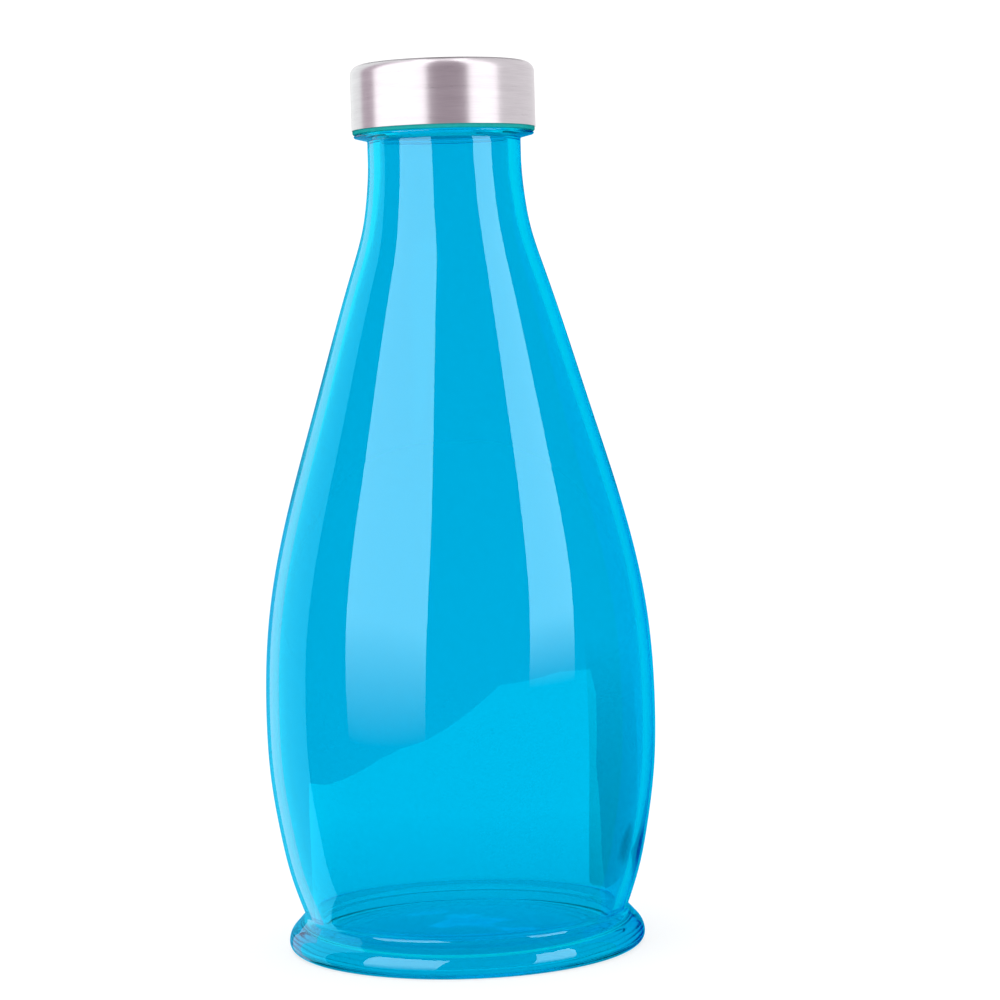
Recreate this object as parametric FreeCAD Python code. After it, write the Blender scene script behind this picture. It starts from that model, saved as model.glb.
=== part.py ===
"""One-litre glass water bottle with a screw cap, in the four pieces that come apart on a bench.

A blown glass bottle stands on a flared foot. Its belly tapers in a long cone to a short neck, which
ends in a bead and an outside thread. A drawn steel shell covers a moulded plastic insert, whose inside
thread runs on the glass. A silicone ring sits in the insert and seals on the lip of the mouth.

Millimetres. +Z is up along the bottle's axis, and the origin is on that axis where the foot rests.
"""

import FreeCAD, Part

import math
import os

# Driving dimensions
TOTAL_HEIGHT = 245.0  # foot to the top of the closed cap
FOOT_RADIUS = 49.8
WAIST_RADIUS = 45.2  # crease between the foot and the belly
BELLY_RADIUS = 54.25
NECK_RADIUS = 21.2
MOUTH_RADIUS = 17.8
WALL = 3.2
CAP_RADIUS = 25.45
STEEL_HEIGHT = 17.9  # the cap's steel shell
THREAD_LEAD = 8.0  # rise of the cap in one turn
THREAD_STARTS = 2

# Foot and base of the glass
HEEL_RADIUS = 2.4  # rounding from the bearing ring to the widest place of the foot
RIM_RADIUS = 5.5  # rounding above that place
FLARE_ANGLE = 42.0  # lean of the foot's upper side, in degrees from upright
WAIST_FILLET = 1.2
WAIST_LEAN = 20.0  # lean of the belly just above the crease
BEARING_INNER = 43.6  # inner edge of the flat ring that the bottle rests on
PUSH_UP = 4.5  # height of the hollow under the base
BASE_WALL = 3.4  # glass under the deepest place inside
POCKET_RADIUS = 2.0  # rounding inside the foot, where the wall turns into the floor
FLOOR_SLOPE = 13.0  # fall of the domed floor at its edge, in degrees

# Belly, cone and neck: the (radius, height) places that the outside goes through
SIDE = [
    (48.5, 20.0),
    (51.35, 33.0),
    (53.5, 48.0),
    (BELLY_RADIUS, 66.0),
    (52.5, 94.0),
    (46.65, 122.0),
    (38.45, 150.0),
    (26.85, 188.0),
    (23.25, 200.0),
    (21.95, 208.0),
    (NECK_RADIUS, 219.0),
]

# Bead, lip and thread of the glass
BEAD_RADIUS = 24.9
BEAD_TOP = 225.8
BEAD_EDGE = 0.35  # rounding of the bead's thin edge
BEAD_SLOPE = 14.0  # fall of the bead's underside towards the neck, in degrees
BEAD_FILLET = 0.6  # between the neck and the bead's underside
ROOT_FILLET = 0.5  # between the bead's top and the finish
FINISH_RADIUS = 21.5
LIP_Z = 241.5
LIP_ROUND = 1.2
RIDGE_HEIGHT = 1.2
RIDGE_ROOT = 2.4  # width of the ridge where it meets the wall
RIDGE_CREST = 1.0
RIDGE_START = 230.0
RIDGE_TURNS = 1.05

# Steel shell
SHELL_WALL = 0.5
SHELL_CORNER = 2.8
GLUE_GAP = 0.05  # film of glue between the shell and the insert

# Plastic insert
RIM_RADIUS_CAP = 25.2  # the rim shows under the shell
RIM_THICKNESS = 1.1
RIM_EDGE = 0.4
INSERT_BORE = 23.05
INSERT_TOP_WALL = 1.2
INNER_RIDGE_HEIGHT = 1.1
INNER_RIDGE_ROOT = 1.5
INNER_RIDGE_CREST = 0.6
INNER_RIDGE_TURNS = 0.85
FLANK_GAP = 0.3  # between the ridges of glass and insert where they bear on each other
PLUG_RADIUS = 17.2
PLUG_WALL = 1.3
PLUG_DEPTH = 3.1
PLUG_TAPER = 0.3  # the plug's tip is narrower than its root by this much
BARB = 0.3  # step under the seal that keeps it on the plug

# Silicone ring
SEAL_OUTER = 22.4
SEAL_GAP = 0.05  # above, below and inside the ring
SEAL_EDGE = 0.35

# Both kinds of screw ridge
FADE_ANGLE = 35.0  # over which each end of a ridge sinks into its wall, in degrees
EMBED = 0.5  # depth of a ridge's root inside its wall
END_DEPTH = 0.1  # depth of a ridge's crest inside the wall at its two ends
PLACES_PER_TURN = 24

STEEL_Z = TOTAL_HEIGHT - STEEL_HEIGHT
INSERT_RADIUS = CAP_RADIUS - SHELL_WALL - GLUE_GAP
INSERT_TOP_Z = TOTAL_HEIGHT - SHELL_WALL - GLUE_GAP
CEILING_Z = INSERT_TOP_Z - INSERT_TOP_WALL


def at(r, z):
    """A place in the half section."""
    return FreeCAD.Vector(r, 0, z)


def polar(centre, radius, degrees):
    """The (radius, height) place at an angle from +X about a centre in the half section."""
    angle = math.radians(degrees)
    return centre[0] + radius * math.cos(angle), centre[1] + radius * math.sin(angle)


def arc(centre, radius, start, end):
    """Round stretch of an outline, from one angle to another."""
    places = [at(*polar(centre, radius, degrees)) for degrees in (start, (start + end) / 2, end)]
    return Part.Arc(*places).toShape()


def smooth(places, start_direction, end_direction):
    """Curved stretch of an outline through (radius, height) places, with its direction at both ends."""
    curve = Part.BSplineCurve()
    curve.interpolate(
        Points=[at(*place) for place in places],
        InitialTangent=at(*start_direction),
        FinalTangent=at(*end_direction),
    )
    return curve.toShape()


def leaning(degrees):
    """The upward direction that leans outward by an angle."""
    return math.sin(math.radians(degrees)), math.cos(math.radians(degrees))


def ends(item):
    """First and last point of an edge, or of a bare (radius, height) corner."""
    if isinstance(item, tuple):
        return at(*item), at(*item)
    return item.valueAt(item.FirstParameter), item.valueAt(item.LastParameter)


def turned(*items):
    """Solid of revolution about Z. The items are edges and corners in order, and lines join them."""
    start = ends(items[0])[0]
    here = start
    edges = []
    for item in items:
        first, last = ends(item)
        if not first.isEqual(here, 1e-6):
            edges.append(Part.makeLine(here, first))
        if not isinstance(item, tuple):
            edges.append(item)
        here = last
    if not here.isEqual(start, 1e-6):
        edges.append(Part.makeLine(here, start))
    face = Part.Face(Part.Wire(edges))
    return face.revolve(FreeCAD.Vector(0, 0, 0), FreeCAD.Vector(0, 0, 1), 360)


def screw_ridge(wall_radius, side, height, root, crest, start_z, turns):
    """One screw ridge on a wall, outside it where side is 1 and inside it where side is -1."""
    steps = round(turns * PLACES_PER_TURN)
    spine = []
    for i in range(steps + 1):
        turn = i * turns / steps
        to_end = min(turn, turns - turn) * 360 / FADE_ANGLE
        rise = math.sin(min(to_end, 1.0) * math.pi / 2)
        radius = wall_radius - side * (height + END_DEPTH) * (1 - rise)
        angle = 2 * math.pi * turn
        spine.append(
            FreeCAD.Vector(radius * math.cos(angle), radius * math.sin(angle), start_z + THREAD_LEAD * turn)
        )
    curve = Part.BSplineCurve()
    curve.interpolate(Points=spine)
    slope = (root - crest) / 2 / height  # of the flanks, carried on into the wall
    section = [
        (-EMBED, -root / 2 - slope * EMBED),
        (height, -crest / 2),
        (height, crest / 2),
        (-EMBED, root / 2 + slope * EMBED),
    ]
    corners = [spine[0] + at(side * out, up) for out, up in section]
    sweep = Part.BRepOffsetAPI.MakePipeShell(Part.Wire(curve.toShape()))
    sweep.setBiNormalMode(FreeCAD.Vector(0, 0, 1))
    sweep.add(Part.makePolygon(corners + corners[:1]))
    sweep.build()
    sweep.makeSolid()
    return sweep.shape()


def with_ridges(body, ridge):
    """A body with one ridge for each start of the thread."""
    for i in range(THREAD_STARTS):
        copy = ridge.copy()
        copy.rotate(FreeCAD.Vector(0, 0, 0), FreeCAD.Vector(0, 0, 1), 360.0 * i / THREAD_STARTS)
        body = body.fuse(copy)
    return body.removeSplitter()


def foot_centres():
    """Centres of the foot's roundings: heel, rim and the crease under the belly."""
    heel = (FOOT_RADIUS - HEEL_RADIUS, HEEL_RADIUS)
    rim = (FOOT_RADIUS - RIM_RADIUS, HEEL_RADIUS)
    rim_end = polar(rim, RIM_RADIUS, 90 - FLARE_ANGLE)
    outward, upward = leaning(FLARE_ANGLE)
    crease_r = WAIST_RADIUS + WAIST_FILLET
    crease_z = rim_end[1] + (WAIST_FILLET + (rim_end[0] - crease_r) * upward) / outward
    return heel, rim, (crease_r, crease_z)


def foot_edges():
    """Round stretches of the foot's outside: heel, rim and crease."""
    heel, rim, crease = foot_centres()
    return [
        arc(heel, HEEL_RADIUS, -90, 0),
        arc(rim, RIM_RADIUS, 0, 90 - FLARE_ANGLE),
        arc(crease, WAIST_FILLET, 180 + FLARE_ANGLE, 180 - WAIST_LEAN),
    ]


def inside_edges(side_curve):
    """Inside of the bottle from the mouth down to the floor's middle, WALL away from the outside."""
    crease = foot_centres()[2]
    crease_radius = WAIST_FILLET + WALL
    places = [polar(crease, crease_radius, 180 - WAIST_LEAN)]
    for place in SIDE[:-1]:
        parameter = side_curve.parameter(at(*place))
        direction = side_curve.tangent(parameter)[0]
        places.append((place[0] - WALL * direction.z, place[1] + WALL * direction.x))
    places.append((MOUTH_RADIUS, SIDE[-1][1]))
    outward, upward = leaning(WAIST_LEAN)
    wall = smooth(places[::-1], (0, -1), (-outward, -upward))
    flare_r, flare_z = polar(crease, crease_radius, 180 + FLARE_ANGLE)
    outward, upward = leaning(FLARE_ANGLE)
    pocket_z = BASE_WALL + POCKET_RADIUS
    drop = flare_z - POCKET_RADIUS * outward - pocket_z
    pocket = (flare_r - POCKET_RADIUS * upward + drop * outward / upward, pocket_z)
    floor_r, floor_z = polar(pocket, POCKET_RADIUS, -90 - FLOOR_SLOPE)
    slope = math.radians(FLOOR_SLOPE)
    dome_radius = floor_r / math.sin(slope)
    return [
        wall,
        arc(crease, crease_radius, 180 - WAIST_LEAN, 180 + FLARE_ANGLE),
        arc(pocket, POCKET_RADIUS, FLARE_ANGLE, -90 - FLOOR_SLOPE),
        arc((0, floor_z - dome_radius * math.cos(slope)), dome_radius, 90 - FLOOR_SLOPE, 90),
    ]


def bead_edges():
    """Outside of the glass from the top of the neck to the root of the finish."""
    slope = math.radians(BEAD_SLOPE)
    edge_centre = (BEAD_RADIUS - BEAD_EDGE, BEAD_TOP - BEAD_EDGE)
    under = polar(edge_centre, BEAD_EDGE, BEAD_SLOPE - 90)
    fillet_r = NECK_RADIUS + BEAD_FILLET
    fillet_z = under[1] - ((under[0] - fillet_r) * math.sin(slope) + BEAD_FILLET) / math.cos(slope)
    return [
        arc((fillet_r, fillet_z), BEAD_FILLET, 180, 90 + BEAD_SLOPE),
        arc(edge_centre, BEAD_EDGE, BEAD_SLOPE - 90, 90),
        arc((FINISH_RADIUS + ROOT_FILLET, BEAD_TOP + ROOT_FILLET), ROOT_FILLET, -90, -180),
    ]


def lip_edges():
    return [
        arc((FINISH_RADIUS - LIP_ROUND, LIP_Z - LIP_ROUND), LIP_ROUND, 0, 90),
        arc((MOUTH_RADIUS + LIP_ROUND, LIP_Z - LIP_ROUND), LIP_ROUND, 90, 180),
    ]


def glass_bottle():
    foot = foot_edges()
    top_of_crease = ends(foot[-1])[1]
    side = smooth([(top_of_crease.x, top_of_crease.z)] + SIDE, leaning(WAIST_LEAN), (0, 1))
    dome_radius = (BEARING_INNER**2 + PUSH_UP**2) / (2 * PUSH_UP)
    dome_angle = math.degrees(math.asin(BEARING_INNER / dome_radius))
    push_up = arc((0, PUSH_UP - dome_radius), dome_radius, 90, 90 - dome_angle)
    glass = turned(push_up, *foot, side, *bead_edges(), *lip_edges(), *inside_edges(side.Curve))
    ridge = screw_ridge(
        FINISH_RADIUS, 1, RIDGE_HEIGHT, RIDGE_ROOT, RIDGE_CREST, RIDGE_START, RIDGE_TURNS
    )
    return with_ridges(glass, ridge)


def cap_shell():
    corner = (CAP_RADIUS - SHELL_CORNER, TOTAL_HEIGHT - SHELL_CORNER)
    return turned(
        (CAP_RADIUS, STEEL_Z),
        arc(corner, SHELL_CORNER, 0, 90),
        (0.0, TOTAL_HEIGHT),
        (0.0, TOTAL_HEIGHT - SHELL_WALL),
        arc(corner, SHELL_CORNER - SHELL_WALL, 90, 0),
        (CAP_RADIUS - SHELL_WALL, STEEL_Z),
    )


def inner_ridge_start():
    """Height where the insert's ridge starts, so that it bears on the glass ridge from below."""
    glass_slope = (RIDGE_ROOT - RIDGE_CREST) / RIDGE_HEIGHT
    insert_slope = (INNER_RIDGE_ROOT - INNER_RIDGE_CREST) / INNER_RIDGE_HEIGHT
    crest_radius = INSERT_BORE - INNER_RIDGE_HEIGHT
    widths = []
    for radius in (crest_radius, FINISH_RADIUS + RIDGE_HEIGHT):
        glass_width = RIDGE_ROOT - glass_slope * (radius - FINISH_RADIUS)
        insert_width = INNER_RIDGE_ROOT - insert_slope * (INSERT_BORE - radius)
        widths.append(glass_width + insert_width)
    return RIDGE_START - max(widths) / 2 - FLANK_GAP


def cap_insert():
    corner_radius = SHELL_CORNER - SHELL_WALL - GLUE_GAP
    rim_z = STEEL_Z - RIM_THICKNESS
    plug_tip = CEILING_Z - PLUG_DEPTH
    seal_z = LIP_Z + SEAL_GAP
    insert = turned(
        (INSERT_BORE, rim_z),
        arc((RIM_RADIUS_CAP - RIM_EDGE, rim_z + RIM_EDGE), RIM_EDGE, -90, 0),
        (RIM_RADIUS_CAP, STEEL_Z),
        (INSERT_RADIUS, STEEL_Z),
        arc((INSERT_RADIUS - corner_radius, INSERT_TOP_Z - corner_radius), corner_radius, 0, 90),
        (0.0, INSERT_TOP_Z),
        (0.0, CEILING_Z),
        (PLUG_RADIUS - PLUG_WALL, CEILING_Z),
        (PLUG_RADIUS - PLUG_WALL, plug_tip),
        (PLUG_RADIUS - PLUG_TAPER, plug_tip),
        (PLUG_RADIUS + BARB, seal_z - BARB),
        (PLUG_RADIUS, seal_z - SEAL_GAP),
        (PLUG_RADIUS, CEILING_Z),
        (INSERT_BORE, CEILING_Z),
    )
    ridge = screw_ridge(
        INSERT_BORE,
        -1,
        INNER_RIDGE_HEIGHT,
        INNER_RIDGE_ROOT,
        INNER_RIDGE_CREST,
        inner_ridge_start(),
        INNER_RIDGE_TURNS,
    )
    return with_ridges(insert, ridge)


def sealing_ring():
    low = LIP_Z + SEAL_GAP + SEAL_EDGE
    high = CEILING_Z - SEAL_GAP - SEAL_EDGE
    inner = PLUG_RADIUS + SEAL_GAP + SEAL_EDGE
    outer = SEAL_OUTER - SEAL_EDGE
    return turned(
        arc((outer, low), SEAL_EDGE, -90, 0),
        arc((outer, high), SEAL_EDGE, 0, 90),
        arc((inner, high), SEAL_EDGE, 90, 180),
        arc((inner, low), SEAL_EDGE, 180, 270),
    )


def main():
    os.makedirs("parts", exist_ok=True)
    pieces = {
        "glass_bottle": glass_bottle(),
        "cap_shell": cap_shell(),
        "cap_insert": cap_insert(),
        "sealing_ring": sealing_ring(),
    }
    for name, shape in pieces.items():
        shape.exportStep(f"parts/{name}.step")
        box = shape.BoundBox
        print(f"{name}: {len(shape.Solids)} solid, valid {shape.isValid()}, {shape.Volume / 1000:.1f} cm3,"
              f" z {box.ZMin:.2f} to {box.ZMax:.2f}, r {box.XMax:.2f}")


main()
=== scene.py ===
"""Looks of the glass water bottle: smooth glass, brushed steel cap, teal insert and silicone seal.

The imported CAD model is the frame. Each CAD node is replaced by a finer mesh of the same shape, turned
about the Z axis from its outline, with the screw threads formed in the walls. Lengths are in metres.
"""

import math

import bpy
import numpy as np
from mathutils import Matrix, Vector


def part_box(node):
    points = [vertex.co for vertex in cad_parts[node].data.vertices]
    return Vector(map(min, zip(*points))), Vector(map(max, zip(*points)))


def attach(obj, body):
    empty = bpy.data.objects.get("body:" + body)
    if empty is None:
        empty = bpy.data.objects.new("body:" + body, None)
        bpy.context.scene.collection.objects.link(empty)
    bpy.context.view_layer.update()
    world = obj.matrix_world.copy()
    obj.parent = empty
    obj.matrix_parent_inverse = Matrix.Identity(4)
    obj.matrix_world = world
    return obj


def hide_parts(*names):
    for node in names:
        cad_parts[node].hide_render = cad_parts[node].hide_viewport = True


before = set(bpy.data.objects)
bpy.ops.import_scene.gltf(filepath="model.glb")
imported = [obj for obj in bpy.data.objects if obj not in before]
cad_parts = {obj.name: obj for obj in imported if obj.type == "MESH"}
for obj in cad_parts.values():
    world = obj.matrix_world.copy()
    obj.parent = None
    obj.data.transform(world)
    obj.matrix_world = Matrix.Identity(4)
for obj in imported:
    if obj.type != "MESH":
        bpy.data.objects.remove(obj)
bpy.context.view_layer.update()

MM = 0.001
SEGMENTS = 192  # columns of a turned mesh
ROW = 1.6 * MM  # longest row of a wall without a thread
THREAD_ROW = 0.15 * MM  # longest row of a wall with a thread

# Places that the frame gives
GLASS_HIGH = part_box("glass_bottle")[1]
SHELL_LOW, SHELL_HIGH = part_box("cap_shell")
INSERT_LOW, INSERT_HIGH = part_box("cap_insert")
SEAL_LOW, SEAL_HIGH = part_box("sealing_ring")
LIP_Z = GLASS_HIGH.z
TOP_Z = SHELL_HIGH.z
STEEL_Z = SHELL_LOW.z
CAP_RADIUS = SHELL_HIGH.x
RIM_LOW_Z = INSERT_LOW.z
RIM_RADIUS = INSERT_HIGH.x
INSERT_TOP_Z = INSERT_HIGH.z

# Outline of the glass
BELLY_RADIUS = 54.23 * MM
FOOT_RADIUS = 49.8 * MM
WAIST_RADIUS = 45.2 * MM
WAIST_FILLET = 1.2 * MM
WAIST_LEAN = math.radians(20)
HEEL_ROUND = 2.4 * MM
FOOT_ROUND = 5.5 * MM
FLARE = math.radians(42)
BEARING_INNER = 43.6 * MM
PUSH_UP = 4.5 * MM
BASE_WALL = 3.4 * MM
POCKET_RADIUS = 2 * MM
FLOOR_SLOPE = math.radians(13)
WALL = 3.2 * MM
NECK_RADIUS = 21.2 * MM
MOUTH_RADIUS = 17.8 * MM
BEAD_RADIUS = 24.9 * MM
BEAD_TOP = 225.8 * MM
BEAD_EDGE = 0.35 * MM
BEAD_SLOPE = math.radians(14)
BEAD_FILLET = 0.6 * MM
ROOT_FILLET = 0.5 * MM
FINISH_RADIUS = 21.5 * MM
LIP_ROUND = 1.2 * MM
SIDE = [
    (48.5 * MM, 20 * MM),
    (51.35 * MM, 33 * MM),
    (53.5 * MM, 48 * MM),
    (BELLY_RADIUS, 66 * MM),
    (52.5 * MM, 94 * MM),
    (46.65 * MM, 122 * MM),
    (38.45 * MM, 150 * MM),
    (26.85 * MM, 188 * MM),
    (23.25 * MM, 200 * MM),
    (21.95 * MM, 208 * MM),
    (NECK_RADIUS, 219 * MM),
]

# Cap
SHELL_WALL = 0.5 * MM
SHELL_CORNER = 2.8 * MM
GLUE_GAP = 0.05 * MM
RIM_EDGE = 0.4 * MM
INSERT_BORE = 23.05 * MM
INSERT_TOP_WALL = 1.2 * MM
PLUG_RADIUS = 17.2 * MM
PLUG_WALL = 1.3 * MM
PLUG_DEPTH = 3.1 * MM
PLUG_TAPER = 0.3 * MM
BARB = 0.3 * MM
SEAL_EDGE = 0.35 * MM

# Screw threads
LEAD = 8.0 * MM
STARTS = 2
FADE = math.radians(35)
GLASS_THREAD = dict(height=1.2 * MM, root=2.4 * MM, crest=1.0 * MM, start=230.0 * MM, turns=1.05)
INSERT_THREAD = dict(height=1.1 * MM, root=1.5 * MM, crest=0.6 * MM, start=228.46 * MM, turns=0.85)


# ---------------------------------------------------------------- outlines

def arc(centre, radius, start, end, steps):
    """Points of a round stretch, from one angle to another in degrees from +X."""
    angles = np.radians(np.linspace(start, end, steps + 1))
    return [(centre[0] + radius * math.cos(a), centre[1] + radius * math.sin(a)) for a in angles]


def straight(first, last, row):
    """Points of a straight stretch, no further apart than row."""
    steps = max(1, math.ceil(math.dist(first, last) / row))
    return [tuple(np.array(first) + (np.array(last) - first) * i / steps) for i in range(steps + 1)]


class Side:
    """Radius of a rising wall as a smooth function of height, through (radius, height) places."""

    def __init__(self, places, first_slope, last_slope):
        self.r = np.array([p[0] for p in places])
        self.z = np.array([p[1] for p in places])
        step = np.diff(self.z)
        rise = np.diff(self.r) / step
        n = len(places)
        matrix = np.zeros((n, n))
        right = np.zeros(n)
        matrix[0, 0] = matrix[-1, -1] = 1
        right[0], right[-1] = first_slope, last_slope
        for i in range(1, n - 1):
            matrix[i, i - 1] = step[i]
            matrix[i, i] = 2 * (step[i - 1] + step[i])
            matrix[i, i + 1] = step[i - 1]
            right[i] = 3 * (step[i] * rise[i - 1] + step[i - 1] * rise[i])
        self.slope = np.linalg.solve(matrix, right)

    def at(self, z):
        """Radius and slope at a height."""
        i = int(np.clip(np.searchsorted(self.z, z) - 1, 0, len(self.z) - 2))
        h = self.z[i + 1] - self.z[i]
        t = (z - self.z[i]) / h
        r0, r1 = self.r[i], self.r[i + 1]
        m0, m1 = self.slope[i] * h, self.slope[i + 1] * h
        r = r0 + t * m0 + t * t * (3 * (r1 - r0) - 2 * m0 - m1) + t**3 * (2 * (r0 - r1) + m0 + m1)
        slope = (m0 + 2 * t * (3 * (r1 - r0) - 2 * m0 - m1) + 3 * t * t * (2 * (r0 - r1) + m0 + m1)) / h
        return r, slope

    def points(self):
        """Points of the whole wall, from its foot up."""
        low, high = self.z[0], self.z[-1]
        steps = math.ceil((high - low) / ROW)
        return [(self.at(z)[0], z) for z in np.linspace(low, high, steps + 1)]


def joined(*stretches):
    """One list of points from stretches in order, without repeated points."""
    points = []
    for stretch in stretches:
        for p in stretch:
            if not points or math.dist(p, points[-1]) > 1e-7:
                points.append(p)
    return points


# ---------------------------------------------------------------- meshes

def ridge_height(angle, z, height, root, crest, start, turns):
    """How far the screw ridges stand from their wall at an angle and a height."""
    most = np.zeros(np.broadcast(angle, z).shape)
    for k in range(STARTS):
        own = np.mod(angle - 2 * math.pi * k / STARTS, 2 * math.pi)
        for lap in range(math.ceil(turns)):
            along = own + 2 * math.pi * lap
            away = np.abs(z - start - LEAD * along / (2 * math.pi))
            flank = np.clip((root / 2 - away) / (root / 2 - crest / 2), 0, 1)
            left = np.minimum(along, 2 * math.pi * turns - along)
            fade = np.sin(np.clip(left / FADE, 0, 1) * math.pi / 2)
            most = np.maximum(most, flank * flank * (3 - 2 * flank) * fade * height)
    return most


def ring_faces(rings, closed):
    """Four-sided faces between neighbouring rings, and from the last ring to the first one if closed."""
    column = np.arange(SEGMENTS)
    after = (column + 1) % SEGMENTS
    faces = []
    for i in range(rings if closed else rings - 1):
        low, high = i * SEGMENTS, (i + 1) % rings * SEGMENTS
        faces += np.stack([low + column, low + after, high + after, high + column], axis=-1).tolist()
    return faces


def pole_faces(rings):
    """Triangles from the first and last ring to their poles, the two vertices that follow the rings."""
    first_pole = rings * SEGMENTS
    top = (rings - 1) * SEGMENTS
    after = [(i + 1) % SEGMENTS for i in range(SEGMENTS)]
    first = [(first_pole, after[i], i) for i in range(SEGMENTS)]
    return first + [(first_pole + 1, top + i, top + after[i]) for i in range(SEGMENTS)]


def turned(name, outline, closed, relief=None):
    """A closed mesh turned about Z from an outline of (radius, height) points.

    closed says that the outline is a ring of its own; otherwise it starts and ends on the axis. relief,
    if given, says how far each place moves outward, from arrays of angle, radius and height.
    """
    points = np.array(outline)
    ring_points = points if closed else points[1:-1]
    angle = 2 * math.pi * np.arange(SEGMENTS) / SEGMENTS
    radius, a = np.meshgrid(ring_points[:, 0], angle, indexing="ij")
    height = np.repeat(ring_points[:, 1:2], SEGMENTS, axis=1)
    if relief:
        radius = radius + relief(a, radius, height)
    vertices = np.stack([radius * np.cos(a), radius * np.sin(a), height], axis=-1).reshape(-1, 3).tolist()
    faces = ring_faces(len(ring_points), closed)
    if not closed:
        vertices += [(0, 0, points[0][1]), (0, 0, points[-1][1])]
        faces += pole_faces(len(ring_points))
    mesh = bpy.data.meshes.new(name)
    mesh.from_pydata(vertices, [], faces)
    mesh.validate()
    mesh.shade_smooth()
    piece = bpy.data.objects.new(name, mesh)
    bpy.context.scene.collection.objects.link(piece)
    return piece


def sharpen(piece, degrees):
    """Marks the edges that turn by more than an angle as sharp."""
    piece.data.set_sharp_from_angle(angle=math.radians(degrees))


# ---------------------------------------------------------------- materials

def new_material(name):
    """A new material with its nodes and its Principled shader."""
    material = bpy.data.materials.new(name)
    material.use_nodes = True
    tree = material.node_tree
    shader = tree.nodes["Principled BSDF"]
    return material, tree, shader


def add(tree, kind, **values):
    """Adds a node. Values named after sockets set those sockets, and the others set properties."""
    node = tree.nodes.new(kind)
    for key, value in values.items():
        label = key.replace("_", " ").title()
        if hasattr(node, key) and label not in node.inputs:
            setattr(node, key, value)
        else:
            node.inputs[label].default_value = value
    return node


def stretched(tree, scale, turn=(0, 0, 0)):
    """Object coordinates stretched by a scale."""
    place = add(tree, "ShaderNodeTexCoord")
    mapping = add(tree, "ShaderNodeMapping", scale=scale, rotation=turn)
    tree.links.new(place.outputs["Object"], mapping.inputs["Vector"])
    return mapping.outputs["Vector"]


def noise(tree, scale, detail=3.0, roughness=0.6, turn=(0, 0, 0)):
    """Noise of about one feature a unit, on object coordinates stretched by a scale."""
    node = add(tree, "ShaderNodeTexNoise", scale=1.0, detail=detail, roughness=roughness)
    tree.links.new(stretched(tree, scale, turn), node.inputs["Vector"])
    return node.outputs["Fac"]


def spread(tree, value, low, high, from_low=0.3, from_high=0.7):
    """Maps a value from one range to another. Unless told, it starts from the range of a noise."""
    node = add(tree, "ShaderNodeMapRange")
    node.inputs["From Min"].default_value = from_low
    node.inputs["From Max"].default_value = from_high
    node.inputs["To Min"].default_value = low
    node.inputs["To Max"].default_value = high
    tree.links.new(value, node.inputs["Value"])
    return node.outputs["Result"]


def height_above_floor(tree):
    """Height of a place above the floor."""
    split = add(tree, "ShaderNodeSeparateXYZ")
    tree.links.new(stretched(tree, (1, 1, 1)), split.inputs[0])
    return split.outputs["Z"]


def distance_from_origin(tree):
    """Distance of a place from its object's origin, which is under the bottle unless it was moved."""
    length = add(tree, "ShaderNodeVectorMath", operation="LENGTH")
    tree.links.new(stretched(tree, (1, 1, 1)), length.inputs[0])
    return length.outputs["Value"]


def distance_from_axis(tree):
    """Distance of a place from the bottle's axis."""
    length = add(tree, "ShaderNodeVectorMath", operation="LENGTH")
    tree.links.new(stretched(tree, (1, 1, 0)), length.inputs[0])
    return length.outputs["Value"]


def bump(tree, shader, value, strength, depth):
    """Lets a value raise and lower the surface."""
    node = add(tree, "ShaderNodeBump", strength=strength, distance=depth)
    tree.links.new(value, node.inputs["Height"])
    tree.links.new(node.outputs["Normal"], shader.inputs["Normal"])


def tinted_glass():
    """Cyan-blue glass: clear and polished, with the faint waviness of a blown wall."""
    material, tree, shader = new_material("tinted_glass")
    shader.inputs["Base Color"].default_value = (0.0, 0.636, 0.84, 1)
    shader.inputs["Transmission Weight"].default_value = 1.0
    shader.inputs["IOR"].default_value = 1.5
    wave = noise(tree, (22, 22, 9), detail=1.5)
    tree.links.new(spread(tree, wave, 0.0, 0.015), shader.inputs["Roughness"])
    bump(tree, shader, wave, 0.12, 2 * MM)
    depth = add(tree, "ShaderNodeVolumeAbsorption", color=(0, 0.725, 0.8625, 1), density=20.0)
    tree.links.new(depth.outputs["Volume"], tree.nodes["Material Output"].inputs["Volume"])
    return material


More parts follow.
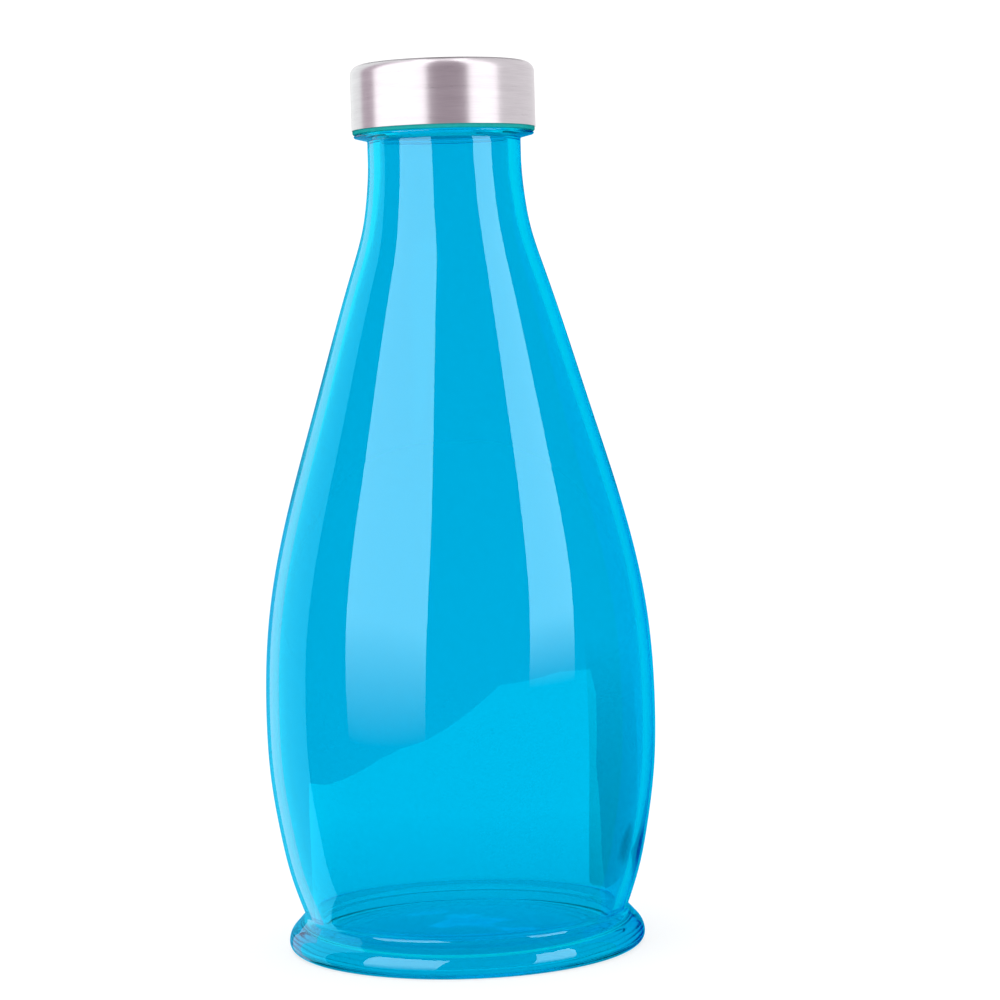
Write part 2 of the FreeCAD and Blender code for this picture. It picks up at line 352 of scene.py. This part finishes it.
def brushed_steel():
    """Stainless steel brushed round its axis: very fine streaks, and a coarser finish on its flat top."""
    material, tree, shader = new_material("steel")
    shader.inputs["Metallic"].default_value = 1.0
    shader.inputs["Anisotropic"].default_value = 0.7
    shader.inputs["Anisotropic Rotation"].default_value = 0.25
    fine = noise(tree, (160, 160, 6500), detail=4)
    broad = noise(tree, (50, 50, 700), detail=3, turn=(math.radians(4), math.radians(6), 0))
    both = add(tree, "ShaderNodeMath", operation="ADD")
    tree.links.new(fine, both.inputs[0])
    tree.links.new(broad, both.inputs[1])
    ramp = add(tree, "ShaderNodeValToRGB")
    ramp.color_ramp.elements[0].position = 0.0
    ramp.color_ramp.elements[0].color = (0.60, 0.55, 0.585, 1)
    ramp.color_ramp.elements[1].position = 1.0
    ramp.color_ramp.elements[1].color = (0.72, 0.67, 0.705, 1)
    tree.links.new(spread(tree, both.outputs[0], 0, 1, 0.7, 1.3), ramp.inputs["Fac"])
    tree.links.new(ramp.outputs["Color"], shader.inputs["Base Color"])
    on_top = spread(tree, height_above_floor(tree), 0, 0.22, TOP_Z - 0.3 * MM, TOP_Z)
    coarse = add(tree, "ShaderNodeMath", operation="ADD")
    tree.links.new(spread(tree, both.outputs[0], 0.27, 0.31, 0.7, 1.3), coarse.inputs[0])
    tree.links.new(on_top, coarse.inputs[1])
    tree.links.new(coarse.outputs[0], shader.inputs["Roughness"])
    bump(tree, shader, fine, 0.05, 0.01 * MM)
    tangent = add(tree, "ShaderNodeTangent", direction_type="RADIAL", axis="Z")
    tree.links.new(tangent.outputs["Tangent"], shader.inputs["Tangent"])
    return material


def insert_plastic():
    """Translucent teal polypropylene, moulded. Its bore has a painted glow: a teal emission that stands in
    for the light the glass leads up.
    """
    material, tree, shader = new_material("insert_plastic")
    grain = noise(tree, (900, 900, 900), detail=2)
    ramp = add(tree, "ShaderNodeValToRGB")
    ramp.color_ramp.elements[0].color = (0.002, 0.33, 0.33, 1)
    ramp.color_ramp.elements[1].color = (0.004, 0.44, 0.43, 1)
    tree.links.new(grain, ramp.inputs["Fac"])
    tree.links.new(ramp.outputs["Color"], shader.inputs["Base Color"])
    shader.inputs["Subsurface Weight"].default_value = 0.35
    shader.inputs["Subsurface Radius"].default_value = (0.3, 1.0, 0.9)
    shader.inputs["Subsurface Scale"].default_value = 1.5 * MM
    tree.links.new(spread(tree, grain, 0.28, 0.4), shader.inputs["Roughness"])
    bump(tree, shader, grain, 0.1, 0.05 * MM)
    # Painted glow: everything within the bore's radius emits teal light, which fades out a millimetre further
    # out.
    painted_glow = spread(tree, distance_from_axis(tree), 0.5, 0, INSERT_BORE + 0.2 * MM, INSERT_BORE + 1 * MM)
    tree.links.new(painted_glow, shader.inputs["Emission Strength"])
    shader.inputs["Emission Color"].default_value = (0, 0.9, 1, 1)
    return material


def silicone():
    """Milky silicone rubber."""
    material, tree, shader = new_material("silicone")
    cloud = noise(tree, (400, 400, 400), detail=2)
    ramp = add(tree, "ShaderNodeValToRGB")
    ramp.color_ramp.elements[0].color = (0.72, 0.74, 0.73, 1)
    ramp.color_ramp.elements[1].color = (0.84, 0.86, 0.85, 1)
    tree.links.new(cloud, ramp.inputs["Fac"])
    tree.links.new(ramp.outputs["Color"], shader.inputs["Base Color"])
    shader.inputs["Subsurface Weight"].default_value = 0.5
    shader.inputs["Subsurface Radius"].default_value = (1.0, 0.9, 0.8)
    shader.inputs["Subsurface Scale"].default_value = 1.5 * MM
    tree.links.new(spread(tree, cloud, 0.42, 0.55), shader.inputs["Roughness"])
    bump(tree, shader, cloud, 0.1, 0.05 * MM)
    return material


# ---------------------------------------------------------------- pieces

GLASS = bpy.data.collections.new("glass_pieces")  # what some of the studio's cards are for
STEEL = bpy.data.collections.new("steel_pieces")


def finish_piece(piece, node, body, material):
    """Gives a piece its material, hides the CAD node that it replaces and hangs it on the body that it moves
    with.
    """
    piece.data.materials.append(material)
    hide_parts(node)
    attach(piece, body)


def foot_centres():
    """Centres of the foot's roundings: heel, rim and the crease under the belly."""
    heel = (FOOT_RADIUS - HEEL_ROUND, HEEL_ROUND)
    rim = (FOOT_RADIUS - FOOT_ROUND, HEEL_ROUND)
    rim_end_r = rim[0] + FOOT_ROUND * math.sin(FLARE)
    rim_end_z = rim[1] + FOOT_ROUND * math.cos(FLARE)
    crease_r = WAIST_RADIUS + WAIST_FILLET
    crease_z = rim_end_z + (WAIST_FILLET + (rim_end_r - crease_r) * math.cos(FLARE)) / math.sin(FLARE)
    return heel, rim, (crease_r, crease_z)


def foot_points():
    """Outside of the foot, from the bearing ring to the crease under the belly."""
    heel, rim, crease = foot_centres()
    flare = math.degrees(FLARE)
    rim_points = arc(rim, FOOT_ROUND, 0, 90 - flare, 12)
    crease_points = arc(crease, WAIST_FILLET, 180 + flare, 180 - math.degrees(WAIST_LEAN), 8)
    return joined(
        arc(heel, HEEL_ROUND, -90, 0, 8),
        rim_points,
        straight(rim_points[-1], crease_points[0], ROW),
        crease_points,
    )


def bead_points():
    """Underside, edge and top of the bead, from the top of the neck to the root of the finish."""
    slope = math.degrees(BEAD_SLOPE)
    edge = (BEAD_RADIUS - BEAD_EDGE, BEAD_TOP - BEAD_EDGE)
    edge_points = arc(edge, BEAD_EDGE, slope - 90, 90, 8)
    under_r, under_z = edge_points[0]
    fillet_r = NECK_RADIUS + BEAD_FILLET
    fillet_z = under_z - ((under_r - fillet_r) * math.sin(BEAD_SLOPE) + BEAD_FILLET) / math.cos(BEAD_SLOPE)
    fillet = arc((fillet_r, fillet_z), BEAD_FILLET, 180, 90 + slope, 6)
    root = arc((FINISH_RADIUS + ROOT_FILLET, BEAD_TOP + ROOT_FILLET), ROOT_FILLET, -90, -180, 5)
    return joined(fillet, edge_points, root)


def inside_points(side):
    """Inside of the glass from the mouth down to the middle of the floor."""
    crease = foot_centres()[2]
    crease_points = arc(
        crease, WAIST_FILLET + WALL, 180 - math.degrees(WAIST_LEAN), 180 + math.degrees(FLARE), 16
    )
    places = [crease_points[0]]
    for r, z in SIDE[:-1]:
        lean = math.atan(side.at(z)[1])
        places.append((r - WALL * math.cos(lean), z + WALL * math.sin(lean)))
    places.append((MOUTH_RADIUS, SIDE[-1][1]))
    wall = Side(places, math.tan(WAIST_LEAN), 0).points()[::-1]
    flare_r, flare_z = crease_points[-1]
    pocket_z = BASE_WALL + POCKET_RADIUS
    drop = flare_z - POCKET_RADIUS * math.sin(FLARE) - pocket_z
    pocket = (flare_r - POCKET_RADIUS * math.cos(FLARE) + drop * math.tan(FLARE), pocket_z)
    slope = math.degrees(FLOOR_SLOPE)
    pocket_points = arc(pocket, POCKET_RADIUS, math.degrees(FLARE), -90 - slope, 20)
    floor_r, floor_z = pocket_points[-1]
    dome_radius = floor_r / math.sin(FLOOR_SLOPE)
    dome = (0, floor_z - dome_radius * math.cos(FLOOR_SLOPE))
    floor = arc(dome, dome_radius, 90 - slope, 90, 14)
    floor[-1] = (0.0, floor[-1][1])
    return joined(wall, crease_points, pocket_points, floor)


def glass_outline():
    """The whole outline of the glass, from under the foot up the outside and down the inside."""
    foot = foot_points()
    side = Side([foot[-1]] + SIDE, math.tan(WAIST_LEAN), 0)
    dome_radius = (BEARING_INNER**2 + PUSH_UP**2) / (2 * PUSH_UP)
    dome_angle = math.degrees(math.asin(BEARING_INNER / dome_radius))
    push_up = arc((0, PUSH_UP - dome_radius), dome_radius, 90, 90 - dome_angle, 14)
    push_up[0] = (0.0, PUSH_UP)
    bead = bead_points()
    lip_low = LIP_Z - LIP_ROUND
    outer_lip = arc((FINISH_RADIUS - LIP_ROUND, lip_low), LIP_ROUND, 0, 90, 7)
    inner_lip = arc((MOUTH_RADIUS + LIP_ROUND, lip_low), LIP_ROUND, 90, 180, 7)
    inside = inside_points(side)
    return joined(
        push_up,
        straight(push_up[-1], foot[0], ROW),
        foot,
        side.points(),
        straight((NECK_RADIUS, SIDE[-1][1]), bead[0], ROW),
        bead,
        straight(bead[-1], outer_lip[0], THREAD_ROW),
        outer_lip,
        inner_lip,
        straight(inner_lip[-1], inside[0], ROW),
        inside,
    )


def glass_relief(angle, radius, height):
    """The screw ridges stand on the outside of the finish."""
    on_finish = (np.abs(radius - FINISH_RADIUS) < 1e-6) & (height > BEAD_TOP)
    return np.where(on_finish, ridge_height(angle, height, **GLASS_THREAD), 0.0)


def make_glass():
    """Blown bottle: foot, belly, neck, bead and threaded finish, one piece of glass."""
    piece = turned("bottle_glass", glass_outline(), False, glass_relief)
    sharpen(piece, 60)
    GLASS.objects.link(piece)
    finish_piece(piece, "glass_bottle", "bottle", tinted_glass())


def make_shell():
    """Drawn steel cup over the cap."""
    corner = (CAP_RADIUS - SHELL_CORNER, TOP_Z - SHELL_CORNER)
    outside = arc(corner, SHELL_CORNER, 0, 90, 14)
    inside = arc(corner, SHELL_CORNER - SHELL_WALL, 90, 0, 10)
    outline = joined(
        straight((0.0, TOP_Z - SHELL_WALL), inside[0], ROW),
        inside,
        straight(inside[-1], (CAP_RADIUS - SHELL_WALL, STEEL_Z), ROW),
        [(CAP_RADIUS, STEEL_Z)],
        straight((CAP_RADIUS, STEEL_Z), outside[0], ROW),
        outside,
        straight(outside[-1], (0.0, TOP_Z), ROW),
    )
    piece = turned("cap_steel_shell", outline, False)
    sharpen(piece, 60)
    STEEL.objects.link(piece)
    finish_piece(piece, "cap_shell", "cap", brushed_steel())


def insert_relief(angle, radius, height):
    """The screw ridges stand inside the bore."""
    on_bore = np.abs(radius - INSERT_BORE) < 1e-6
    return np.where(on_bore, -ridge_height(angle, height, **INSERT_THREAD), 0.0)


def make_insert():
    """Moulded insert: threaded bore, plug with a barb for the seal, and the rim under the steel."""
    insert_radius = CAP_RADIUS - SHELL_WALL - GLUE_GAP
    corner_radius = SHELL_CORNER - SHELL_WALL - GLUE_GAP
    corner = (insert_radius - corner_radius, INSERT_TOP_Z - corner_radius)
    ceiling = INSERT_TOP_Z - INSERT_TOP_WALL
    tip = ceiling - PLUG_DEPTH
    rim = arc((RIM_RADIUS - RIM_EDGE, RIM_LOW_Z + RIM_EDGE), RIM_EDGE, -90, 0, 6)
    plug_inner = PLUG_RADIUS - PLUG_WALL
    outline = joined(
        straight((0.0, ceiling), (plug_inner, ceiling), ROW),
        [(plug_inner, tip), (PLUG_RADIUS - PLUG_TAPER, tip)],
        [(PLUG_RADIUS + BARB, SEAL_LOW.z - BARB), (PLUG_RADIUS, LIP_Z), (PLUG_RADIUS, ceiling)],
        straight((INSERT_BORE, ceiling), (INSERT_BORE, RIM_LOW_Z), THREAD_ROW),
        rim,
        [(RIM_RADIUS, STEEL_Z), (insert_radius, STEEL_Z)],
        arc(corner, corner_radius, 0, 90, 8),
        [(0.0, INSERT_TOP_Z)],
    )
    piece = turned("cap_threaded_insert", outline, False, insert_relief)
    sharpen(piece, 50)
    finish_piece(piece, "cap_insert", "cap", insert_plastic())


def make_seal():
    """Silicone ring round the plug, on the lip."""
    low, high = SEAL_LOW.z + SEAL_EDGE, SEAL_HIGH.z - SEAL_EDGE
    outer = SEAL_HIGH.x - SEAL_EDGE
    inner = PLUG_RADIUS + GLUE_GAP + SEAL_EDGE
    outline = joined(
        arc((outer, low), SEAL_EDGE, -90, 0, 6),
        arc((outer, high), SEAL_EDGE, 0, 90, 6),
        arc((inner, high), SEAL_EDGE, 90, 180, 6),
        arc((inner, low), SEAL_EDGE, 180, 270, 6),
    )
    piece = turned("silicone_seal", outline, True)
    finish_piece(piece, "sealing_ring", "seal", silicone())


# ---------------------------------------------------------------- stage

WHITE_LEVEL = 1.1  # brightness of the backdrop, a little over white
CARD_DISTANCE = 0.75  # from the bottle's axis to the corners of the upright cards
MOST_BOUNCES = 40


def make_world():
    """White all round, but what the pieces' outer surfaces mirror is dark behind the cards."""
    world = bpy.data.worlds.new("studio")
    bpy.context.scene.world = world
    world.use_nodes = True
    tree = world.node_tree
    white = tree.nodes["Background"]
    white.inputs["Color"].default_value = (1, 1, 1, 1)
    white.inputs["Strength"].default_value = WHITE_LEVEL
    room = add(tree, "ShaderNodeBackground", color=(0, 0, 0, 1))
    path = add(tree, "ShaderNodeLightPath")
    outside = add(tree, "ShaderNodeMath", operation="LESS_THAN")
    outside.inputs[1].default_value = 0.5
    mirrored = add(tree, "ShaderNodeMath", operation="MULTIPLY")
    mix = add(tree, "ShaderNodeMixShader")
    tree.links.new(path.outputs["Transmission Depth"], outside.inputs[0])
    tree.links.new(path.outputs["Is Glossy Ray"], mirrored.inputs[0])
    tree.links.new(outside.outputs[0], mirrored.inputs[1])
    tree.links.new(mirrored.outputs[0], mix.inputs["Fac"])
    tree.links.new(white.outputs[0], mix.inputs[1])
    tree.links.new(room.outputs[0], mix.inputs[2])
    tree.links.new(mix.outputs[0], tree.nodes["World Output"].inputs["Surface"])


def plane(name, corners):
    """A flat piece of the studio."""
    mesh = bpy.data.meshes.new(name)
    mesh.from_pydata(corners, [], [tuple(range(len(corners)))])
    piece = bpy.data.objects.new(name, mesh)
    bpy.context.scene.collection.objects.link(piece)
    return piece


def square(half, z):
    """Corners of a level square about the Z axis, from half its width and its height."""
    return [(-half, -half, z), (half, -half, z), (half, half, z), (-half, half, z)]


def glow(name, colour, strength, measure=None, fade=None):
    """Light added to what lies behind it. fade, if given, is where it rises from nothing on a measure."""
    material, tree, shader = new_material(name)
    tree.nodes.remove(shader)
    emission = add(tree, "ShaderNodeEmission", color=(*colour, 1), strength=strength)
    clear = add(tree, "ShaderNodeBsdfTransparent")
    both = add(tree, "ShaderNodeAddShader")
    if fade:
        tree.links.new(spread(tree, measure(tree), 0, strength, *fade), emission.inputs["Strength"])
    tree.links.new(emission.outputs[0], both.inputs[0])
    tree.links.new(clear.outputs[0], both.inputs[1])
    tree.links.new(both.outputs[0], tree.nodes["Material Output"].inputs["Surface"])
    return material


def show_to(card, pieces, material):
    """Lets a card be seen by nothing but the mirror reflections of some pieces."""
    card.data.materials.append(material)
    card.light_linking.receiver_collection = pieces
    card.visible_camera = False
    card.visible_diffuse = False
    card.visible_transmission = False
    card.visible_volume_scatter = False
    card.visible_shadow = False


def shade(name, darkest, fade):
    """A filter that dims what lies behind it to its darkest, less so further from its origin."""
    material, tree, shader = new_material(name)
    tree.nodes.remove(shader)
    clear = add(tree, "ShaderNodeBsdfTransparent")
    tree.links.new(spread(tree, distance_from_origin(tree), darkest, 1, *fade), clear.inputs["Color"])
    tree.links.new(clear.outputs[0], tree.nodes["Material Output"].inputs["Surface"])
    return material


def show_through_glass(shade_sheet, material):
    """Lets a painted shade sheet be seen by nothing but light that has passed through glass."""
    shade_sheet.data.materials.append(material)
    shade_sheet.visible_camera = False
    shade_sheet.visible_diffuse = False
    shade_sheet.visible_glossy = False
    shade_sheet.visible_volume_scatter = False
    shade_sheet.visible_shadow = False


def make_floor():
    """A wide pale floor that fades out far away, so that no horizon shows."""
    floor = plane("floor", square(6.0, 0))
    material, tree, shader = new_material("pale_floor")
    shader.inputs["Base Color"].default_value = (0.35, 0.35, 0.35, 1)
    shader.inputs["Roughness"].default_value = 1.0
    shader.inputs["Specular IOR Level"].default_value = 0.0
    fade = spread(tree, distance_from_origin(tree), 1, 0, 1.0, 5.8)
    fade.node.interpolation_type = "SMOOTHSTEP"
    tree.links.new(fade, shader.inputs["Alpha"])
    shader.inputs["Emission Color"].default_value = (1, 1, 1, 1)
    shader.inputs["Emission Strength"].default_value = 0.7
    floor.data.materials.append(material)
    floor.visible_glossy = False


def place_at(azimuth, z):
    """A place at the cards' distance. Azimuth 0 is towards the camera's side (-Y) and 90 is +X."""
    a = math.radians(azimuth)
    return (CARD_DISTANCE * math.sin(a), -CARD_DISTANCE * math.cos(a), z)


def upright_card(name, seen_by, low, high, colour, strength, fade=None):
    """A softbox that only the mirror reflections of one set of pieces see.

    low and high are its lower and upper ends: their height and the azimuths of their two corners. fade,
    if given, is the pair of heights between which its light rises from nothing.
    """
    (low_z, *low_azimuths), (high_z, *high_azimuths) = low, high
    corners = [place_at(a, low_z) for a in low_azimuths] + [place_at(a, high_z) for a in high_azimuths[::-1]]
    show_to(plane(name, corners), seen_by, glow(name, colour, strength, height_above_floor, fade))


def make_glass_cards():
    """Two softboxes in front, and blue walls beside and behind the bottle for its edges."""
    cool = (1, 1.75, 1.95)
    upright_card("glass_left", GLASS, (-0.06, -20.5, -66), (0.8, -14, -75), cool, 3.0, (-0.04, 0.2))
    upright_card("glass_right", GLASS, (0.03, 38.7, 67.5), (0.8, 54, 88), cool, 3.0, (0.05, 0.2))
    for name, first, last, colour in (
        ("glass_side_left", -100, -131, (0.2, 1.5, 2.0)),
        ("glass_back_left", -131, -150, (0.7, 0.85, 1.25)),
        ("glass_far_left", -150, -180, (0.05, 0.5, 0.85)),
        ("glass_back_right", 106, 155, (0, 0, 0.7)),
        ("glass_far_right", 155, 180, (0, 0.4, 0.8)),
    ):
        upright_card(name, GLASS, (-0.4, first, last), (1.2, first, last), colour, 1.0)


def make_cap_cards():
    """White softboxes with rose gaps between them, all round the cap and over it."""
    white = (1, 1, 1)
    rose = (1, 0.87, 0.955)
    for name, first, last, colour, strength in (
        ("cap_back_left", -162, -120, (1, 1.07, 1.04), 1.1),
        ("cap_gap_left", -120, -93, rose, 0.62),
        ("cap_left", -93, -19, white, 1.8),
        ("cap_front", -19, 32, rose, 0.5),
        ("cap_right", 32, 72, white, 1.8),
        ("cap_back_right", 72, 162, white, 0.92),
    ):
        upright_card(name, STEEL, (0.0, first, last), (3.0, first, last), colour, strength)
    for name, first, last in (("cap_edge_left", -180, -162), ("cap_edge_right", 162, 180)):
        upright_card(name, STEEL, (0.0, first, last), (0.55, first, last), white, 1.0)
    overhead = plane("cap_overhead", square(0.8, 3.0))
    show_to(overhead, STEEL, glow("cap_overhead", white, 1.5))


def make_table_reflection():
    """The lit part of the table that the glass mirrors, just under the floor."""
    under = -0.5 * MM
    table_edge = [(0, 0), (-0.25, 0.02), (-0.24, -0.05), (-0.25, -0.16), (-0.26, -0.26), (-0.24, -0.37),
                  (-0.17, -0.47), (1.44, -3.46), (6.3, -3.6), (3.2, -0.48), (0.96, -0.11), (0.28, -0.06)]
    table = plane("table_reflection", [(x, y, under) for x, y in table_edge])
    show_to(table, GLASS, glow("table_reflection", (0.0, 0.9, 1.1), 2.25, distance_from_origin, (0.04, 0.16)))


def make_painted_shades():
    """Painted shade: dark sheets on the floor behind the bottle, seen only through the glass, which darken
    its right side from behind.
    """
    over = 0.5 * MM
    side = plane("side_painted_shade", [(0.042, 0.05, over), (0.1, 0.05, over), (0.24, 0.8, over), (0.108, 0.8, over)])
    show_through_glass(side, shade("side_painted_shade", 0.6, (0.1, 0.82)))
    streak = plane("streak_painted_shade", square(1, 0))
    streak.location = (0.083, 0.1, 2 * over)
    streak.rotation_euler = (0, 0, math.radians(-13))
    streak.scale = (16 * MM, 44 * MM, 1)
    show_through_glass(streak, shade("streak_painted_shade", 0.0, (0.55, 1.0)))


def make_light():
    """A broad soft key light from the upper left for the floor's shadow."""
    sun = bpy.data.lights.new("key", "SUN")
    sun.energy = 0.35
    sun.angle = math.radians(50)
    key = bpy.data.objects.new("key", sun)
    key.rotation_euler = (math.radians(28), math.radians(-22), 0)
    key.visible_glossy = False
    bpy.context.scene.collection.objects.link(key)


def let_light_through():
    """Lets light turn often enough to leave the thick glass of the foot."""
    cycles = bpy.context.scene.cycles
    cycles.max_bounces = MOST_BOUNCES
    cycles.transmission_bounces = MOST_BOUNCES
    cycles.glossy_bounces = MOST_BOUNCES


def make_camera():
    """Eye level a little below the cap, with a long lens, as in a catalogue picture."""
    away, eye_level = 0.8338, 0.1755
    yaw, pitch, roll = (math.radians(a) for a in (0.867, 3.533, -1.66))
    ahead = Vector((math.sin(yaw) * math.cos(pitch), math.cos(yaw) * math.cos(pitch), -math.sin(pitch)))
    level = Vector((math.cos(yaw), -math.sin(yaw), 0))
    above = level.cross(ahead)
    right = math.cos(roll) * level + math.sin(roll) * above
    up = -math.sin(roll) * level + math.cos(roll) * above
    data = bpy.data.cameras.new("camera")
    data.sensor_width = 36  # millimetres, as the lens
    data.lens = 108
    camera = bpy.data.objects.new("camera", data)
    camera.matrix_world = Matrix.Translation((0, -away, eye_level)) @ Matrix(
        (right, up, -ahead)
    ).transposed().to_4x4()
    bpy.context.scene.collection.objects.link(camera)
    bpy.context.scene.camera = camera


make_glass()
make_shell()
make_insert()
make_seal()
make_world()
make_floor()
make_glass_cards()
make_cap_cards()
make_table_reflection()
make_painted_shades()
make_light()
make_camera()
bpy.context.scene.view_settings.view_transform = "Standard"
let_light_through()
